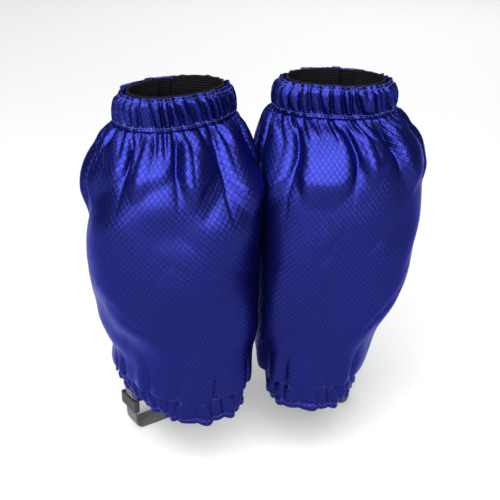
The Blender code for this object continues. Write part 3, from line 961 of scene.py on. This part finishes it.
def tapes(label, side, seed):
    f = flap
    heights = np.linspace(tube["hemTop"] + 0.006, tube["bandLow"] - 0.006, 150)
    left, right = f["tapeEdge"] - f["tapeWidth"], f["tapeEdge"]
    across, height = acrossGrid(left, right, 30, heights)
    fuzz = np.random.default_rng(seed).normal(0, 1, across.shape)
    pileOff = 0.0020 + 0.00018 * fuzz
    loops = gridMesh(label + "loop_pile", frontPoints(height, across, pileOff, side),
                     frontUvs(across, height), [look["loops"]], 0.0011)
    hookBack = gridMesh(label + "hook_backing", frontPoints(height, across, 0.0034 + 0 * across, side),
                        frontUvs(across, height), [look["hooks"]], 0.0005)
    for obj, body, node in ((loops, "gaiters", "loop_tape"), (hookBack, label + "flap", "hook_tape")):
        applyModifiers(obj)
        finishPiece(obj, body, [label + node])
    rows = int((heights[-1] - heights[0]) / f["hookPitch"])
    columns = int(f["tapeWidth"] / f["hookPitch"]) - 1
    hookHeights = np.linspace(heights[0] + 0.001, heights[-1] - 0.001, rows)
    across, height = acrossGrid(left + 0.0012, right - 0.0012, columns, hookHeights)
    points = frontPoints(height, across, 0.0029 + 0 * across, side)
    inwards = -outNormals(points)
    aheads = np.gradient(points, axis=0) * np.where(np.arange(columns) % 2, 1, -1)[None, :, None]
    hooks = copyOnto(label + "hook_field", "hook", points.reshape(-1, 3), inwards.reshape(-1, 3),
                     aheads.reshape(-1, 3), 0.12, seed)
    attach(hooks, label + "flap")


# the instep strap and its fittings, metres, in a gaiter's own frame: u is away from its middle
strapShape = {
    "width": 0.020, "y": 0.041, "pivotZ": 0.056, "u": 0.0315, "thick": 0.0016, "corner": 0.008,
    "tabU": 0.0332, "tabThick": 0.0010, "tabTop": 0.068,
    "tailWidth": 0.010, "tailThick": 0.0010,
    "sliderZ": 0.027, "slider": (0.0062, 0.0270, 0.0135), "slot": (0.0040, 0.0212), "gripPitch": 0.0032,
}


# webbing along a line of points in a gaiter's own frame: rounded edges, closed round ends.
# sides are the directions across it.
def webStrip(name, line, sides, widths, thick, side, material):
    line, sides = np.asarray(line, float), np.asarray(sides, float)
    out = np.cross(unit(np.gradient(line, axis=0)), sides)
    turn = np.linspace(0, 2 * math.pi, 33)
    c, s = np.cos(turn), np.sin(turn)
    flatC = np.sign(c) * np.abs(c) ** 0.55
    flatS = np.sign(s) * np.abs(s) ** 0.35
    walked = walkedAlong(line)
    rows, uvs = [], []
    for i in range(len(line)):
        half = widths[i] / 2
        bead = 1 + 0.10 * np.exp(-((np.abs(flatC) - 0.9) / 0.08) ** 2)
        overThick = out[i] * (flatS * bead * thick / 2)[:, None]
        rows.append(line[i] + sides[i] * (flatC * half)[:, None] + overThick)
        uvs.append(np.stack([np.full(33, walked[i]), flatC * half], -1))
    for k, source in ((0, 0), (len(rows) + 1, -1)):
        middle = rows[source].mean(axis=0)
        rows.insert(k, middle + (rows[source] - middle) * 0.02)
        uvs.insert(k, uvs[source])
    points = toWorld(np.array(rows), side)
    obj = gridMesh(name, points, np.array(uvs), [material])
    cleanMesh(obj)
    return obj


def cleanMesh(obj):
    tidy = bmesh.new()
    tidy.from_mesh(obj.data)
    bmesh.ops.remove_doubles(tidy, verts=tidy.verts, dist=2e-6)
    ends = [edge for edge in tidy.edges if edge.is_boundary]
    if ends:
        bmesh.ops.holes_fill(tidy, edges=ends)
    bmesh.ops.recalc_face_normals(tidy, faces=tidy.faces)
    tidy.to_mesh(obj.data)
    tidy.free()
    obj.data.shade_smooth()


# moves a fitting from its own frame to its place on a gaiter, and keeps its edges crisp
def placeFitting(obj, move, side):
    turn = Matrix.Rotation(-side * stance["toeOut"], 4, "Z")
    obj.data.transform(Matrix.Translation((side * stance["halfGap"], 0, 0)) @ turn @ move)
    obj.data.shade_smooth()
    obj.data.set_sharp_from_angle(angle=math.radians(35))


def roundEndWidths(line, middle, width, sign):
    past = np.maximum(0, sign * (line[:, 2] - middle))
    return 2 * np.sqrt(np.maximum((width / 2) ** 2 - past ** 2, 1e-8))


def instepStrap(label, side, seed):
    s = strapShape
    top, end, bottom = s["pivotZ"], s["width"] / 2, s["thick"] / 2
    legTop = [(s["u"], top + end * math.sin(math.radians(a))) for a in (88, 80, 70, 56, 40, 20, 0)]
    straight = [(s["u"], z) for z in np.linspace(top - 0.002, bottom + s["corner"], 14)]
    centre = (s["u"] - s["corner"], bottom + s["corner"])
    bend = [(centre[0] + s["corner"] * math.cos(a), centre[1] + s["corner"] * math.sin(a))
            for a in np.linspace(0, -math.pi / 2, 10)[1:]]
    flatRun = [(u, bottom) for u in np.linspace(centre[0], 0, 9)[1:]]
    half = legTop + straight + bend + flatRun
    path = np.array(half + [(-u, z) for u, z in reversed(half[:-1])])
    line = np.stack([path[:, 0], np.full(len(path), s["y"]), path[:, 1]], -1)
    wave = 0.0005 * wander(np.arange(len(path)) * 0.004, seed, 0.05) * (path[:, 1] < 0.05)
    line[:, 1] += wave
    sides = np.tile([0.0, 1.0, 0.0], (len(path), 1))
    widths = roundEndWidths(line, top, s["width"], 1)
    strap = webStrip(label + "strap_webbing", line, sides, widths, s["thick"], side, look["webbing"])
    finishPiece(strap, label + "strap", [label + "instep_strap"])
    for face, word in ((side, "outer"), (-side, "inner")):
        heights = [top - end * math.sin(math.radians(a)) for a in (88, 80, 70, 56, 40, 20, 0)]
        heights += list(np.linspace(top + 0.002, s["tabTop"], 7))
        line = np.array([(face * s["tabU"], s["y"], z) for z in heights])
        tab = webStrip(label + "tab_webbing_" + word, line, np.tile([0.0, 1.0, 0.0], (len(line), 1)),
                       roundEndWidths(line, top, s["width"], -1), s["tabThick"], side, look["webbing"])
        finishPiece(tab, "gaiters", [label + "strap_tab_" + word])


def strapTail(label, side):
    s = strapShape
    knots = np.array([(0.000, 0.0155), (0.000, 0.026), (-0.001, 0.033), (-0.003, 0.037), (-0.0062, 0.0415)])
    walk = np.linspace(0, len(knots) - 1, 22)
    y, z = (np.interp(walk, range(len(knots)), knots[:, k]) for k in (0, 1))
    smoothed = np.stack([np.convolve(np.pad(v, 2, mode="edge"), np.ones(5) / 5, "valid") for v in (y, z)], -1)
    u = side * (s["u"] + s["thick"] / 2 + 0.0009)
    line = np.stack([np.full(len(walk), u), s["y"] + smoothed[:, 0], smoothed[:, 1]], -1)
    ahead = unit(np.gradient(line, axis=0))
    sides = np.stack([0 * ahead[:, 0], ahead[:, 2], -ahead[:, 1]], -1)
    left = np.linalg.norm(line - line[-1], axis=1)
    widths = s["tailWidth"] * np.clip(np.sqrt(np.clip(left / 0.004, 0, 1)), 0.15, 1)
    tail = webStrip(label + "tail_webbing", line, sides, widths, s["tailThick"], side, look["webbing"])
    finishPiece(tail, label + "strap", [label + "strap_tail"])


# a moulded loop buckle: rounded frame with three grip ribs on its outer face
def strapSlider(label, side):
    s = strapShape
    sx, sy, sz = s["slider"]
    obj = intoScene(label + "loop_buckle", boxMesh(label + "loop_buckle", (sx, sy, sz)))
    obj.data.materials.append(look["acetal"])
    rounding = obj.modifiers.new("rounding", "BEVEL")
    rounding.width = 0.0016
    rounding.segments = 4
    blocks = [boxMesh("cutter", (s["slot"][0], s["slot"][1], 0.03))]
    for z in (-s["gripPitch"], 0.0, s["gripPitch"]):
        blocks.append(boxMesh("cutter", (0.0009, sy - 0.008, 0.0010), (side * sx / 2, 0, z)))
    cutAndSoften(obj, blocks)
    placeFitting(obj, Matrix.Translation((side * (s["u"] + 0.0008), s["y"], s["sliderZ"])), side)
    finishPiece(obj, label + "slider", [label + "strap_slider"])


# lace hook: a J of strip with its slot over the webbing loop
hookShape = {
    "x": -0.013, "y": 0.0578, "z": 0.044, "width": 0.016, "tipWidth": 0.009, "thick": 0.0014, "bend": 0.004,
    "drop": 0.014, "tip": 0.008, "hang": math.radians(16), "slot": (0.0128, 0.0035), "bar": 0.0011,
    "loopR": 0.0025, "loopThick": 0.0010, "loopWidth": 0.012, "loopTop": 0.066,
}


def laceHook(label, side):
    h = hookShape
    # webbing loop, hanging inside the hem
    arc = [(h["loopR"] * math.cos(a), h["loopR"] * math.sin(a))
           for a in np.linspace(math.pi, 2 * math.pi, 17)]
    rise = h["loopTop"] - h["z"]
    climb = list(np.linspace(rise, 0.002, 8))
    path = [(-h["loopR"], z) for z in climb] + arc + [(h["loopR"], z) for z in reversed(climb)]
    line = np.array([(h["x"], h["y"] + v, h["z"] + z) for v, z in path])
    loop = webStrip(label + "hook_loop", line, np.tile([1.0, 0.0, 0.0], (len(line), 1)),
                    np.full(len(line), h["loopWidth"]), h["loopThick"], side, look["webbing"])
    finishPiece(loop, "gaiters", [label + "hook_tab"])
    # the hook's strip, in its own frame: the bar's axis is X
    bend = [(-h["bend"] + h["bend"] * math.cos(a), -h["drop"] + h["bend"] * math.sin(a))
            for a in np.linspace(0, -math.pi, 21)]
    straight = [(0.0, z) for z in np.linspace(h["bar"], -h["drop"], 14)[:-1]]
    tip = [(-2 * h["bend"], z) for z in np.linspace(-h["drop"], h["tip"] - h["drop"], 7)[1:]]
    path = straight + bend + tip
    rows = []
    for v, z in path:
        narrow = 1.0 if v < -1e-6 else float(smooth(-z, 0.0060, 0.0100))
        half = (h["width"] + (h["tipWidth"] - h["width"]) * narrow) / 2
        near = math.dist((v, z), path[-1]) / 0.003
        half *= 0.55 + 0.45 * math.sqrt(min(1.0, near))
        rows.append([(x * half, v, z) for x in np.linspace(-1, 1, 9)])
    points = np.array(rows)
    obj = gridMesh(label + "steel_hook", points, points[..., :2], [look["steel"]])
    solid = obj.modifiers.new("thickness", "SOLIDIFY")
    solid.thickness = h["thick"]
    solid.offset = 0.0
    solid.use_even_offset = True
    slotWide, slotTall = h["slot"]
    cutAndSoften(obj, [boxMesh("slot", (slotWide, 0.01, slotTall), (0, 0, -h["bar"] - slotTall / 2), 0.0006)])
    hang = Matrix.Translation((h["x"], h["y"], h["z"])) @ Matrix.Rotation(h["hang"], 4, "X")
    cleanMesh(obj)
    placeFitting(obj, hang, side)
    finishPiece(obj, label + "hook", [label + "lace_hook"])


def seams(label, side, seed, band, hem, front):
    bandNormals, hemNormals, frontNormals = (outNormals(points) for points in (band, hem, front))
    rows = [surfaceRow(band, bandNormals, row) for row in sewing["bandRows"]]
    rows += [surfaceRow(hem, hemNormals, row) for row in sewing["hemRows"]]
    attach(sew(label + "band_stitches", rows, seed), "gaiters")
    rows = [surfaceRow(front, frontNormals, (slice(None), column)) for column in sewing["flapColumns"]]
    rows += [surfaceRow(front, frontNormals, (row, sewing["flapSpan"])) for row in sewing["flapRows"]]
    bendAtHinge(sew(label + "flap_stitches", rows, seed), label, side)


for label, side, seed in (("left_", -1, 11), ("right_", 1, 207)):
    liningRing(label, "top", (tube["bandLow"] + 0.001, tube["bandTop"] + 0.0014), 0.0076, seed, side)
    liningRing(label, "hem", (tube["hemLow"] + 0.002, tube["hemTop"] - 0.002), 0.0044, seed + 3, side)
    bandPoints, hemPoints = gaiterCloth(label, side, seed)
    print(label + "cloth made")
    tapes(label, side, seed)
    flapPoints = flapCloth(label, side, seed)
    flapLining(label, side)
    edgeBinding(label, side)
    print(label + "closure made")
    instepStrap(label, side, seed)
    strapTail(label, side)
    strapSlider(label, side)
    laceHook(label, side)
    for word in ("outer", "inner"):
        rivet = bpy.data.objects[label + "strap_rivet_" + word]
        rivet.data.materials.clear()
        rivet.data.materials.append(look["steel"])
    seams(label, side, seed, bandPoints, hemPoints, flapPoints)
    print(label + "strap, hook and seams made")


def areaLight(name, place, target, size, power):
    lamp = bpy.data.lights.new(name, "AREA")
    lamp.shape = "RECTANGLE"
    lamp.size, lamp.size_y = size
    lamp.energy = power
    obj = intoScene(name, lamp)
    obj.location = place
    obj.rotation_euler = (Vector(target) - Vector(place)).to_track_quat("-Z", "Y").to_euler()


studio = {
    "world": 0.32, "ceiling": 0.7, "ceilingAngle": math.radians(50), "floor": "#BABABA",
    # place, what it points at, size in metres, watts
    "lamps": {
        "low_softbox": ((-0.55, -1.75, 1.10), (0, 0, 0.25), (2.8, 1.3), 116),
        "high_softbox": ((-0.40, -0.95, 1.95), (0, 0, 0.30), (2.4, 1.2), 66),
        "front_fill": ((1.00, 1.90, 1.20), (0, 0, 0.20), (1.6, 1.0), 16),
        "floor_wash": ((0, 3.40, 2.60), (0, 3.40, 0), (5.0, 2.4), 70),
    },
}


def stage():
    bpy.ops.mesh.primitive_plane_add(size=160, location=(0, 0, -0.0002))
    floor = bpy.context.object
    floor.name = "floor"
    material = newMaterial("pale_floor", 0.9, color=studio["floor"])[0]
    floor.data.materials.append(material)
    world = bpy.data.worlds.new("studio")
    bpy.context.scene.world = world
    world.use_nodes = True
    world.node_tree.nodes["Background"].inputs[0].default_value = (1, 1, 1, 1)
    world.node_tree.nodes["Background"].inputs[1].default_value = studio["world"]
    sun = bpy.data.lights.new("ceiling", "SUN")
    sun.energy = studio["ceiling"]
    sun.angle = studio["ceilingAngle"]
    lamp = intoScene("ceiling", sun)
    lamp.rotation_euler = Vector((0.10, 0.20, -1.0)).to_track_quat("-Z", "Y").to_euler()
    for name, (place, target, size, power) in studio["lamps"].items():
        areaLight(name, place, target, size, power)


camera = {
    "azimuth": -11.7, "elevation": 25.6, "distance": 0.864,
    "target": (0.0035, 0.0071, 0.1839),
    "focal": 70.25,                     # millimetres, on a sensor 36 mm wide
}


def makeCamera():
    a, e = math.radians(camera["azimuth"]), math.radians(camera["elevation"])
    target = Vector(camera["target"])
    back = Vector((math.sin(a) * math.cos(e), -math.cos(a) * math.cos(e), math.sin(e)))
    data = bpy.data.cameras.new("camera")
    data.lens = camera["focal"]
    data.sensor_width = 36.0
    data.clip_start = 0.01
    obj = intoScene("camera", data)
    obj.location = target + back * camera["distance"]
    obj.rotation_euler = (-back).to_track_quat("-Z", "Y").to_euler()
    bpy.context.scene.camera = obj


stage()
makeCamera()
bpy.context.scene.view_settings.view_transform = "Standard"
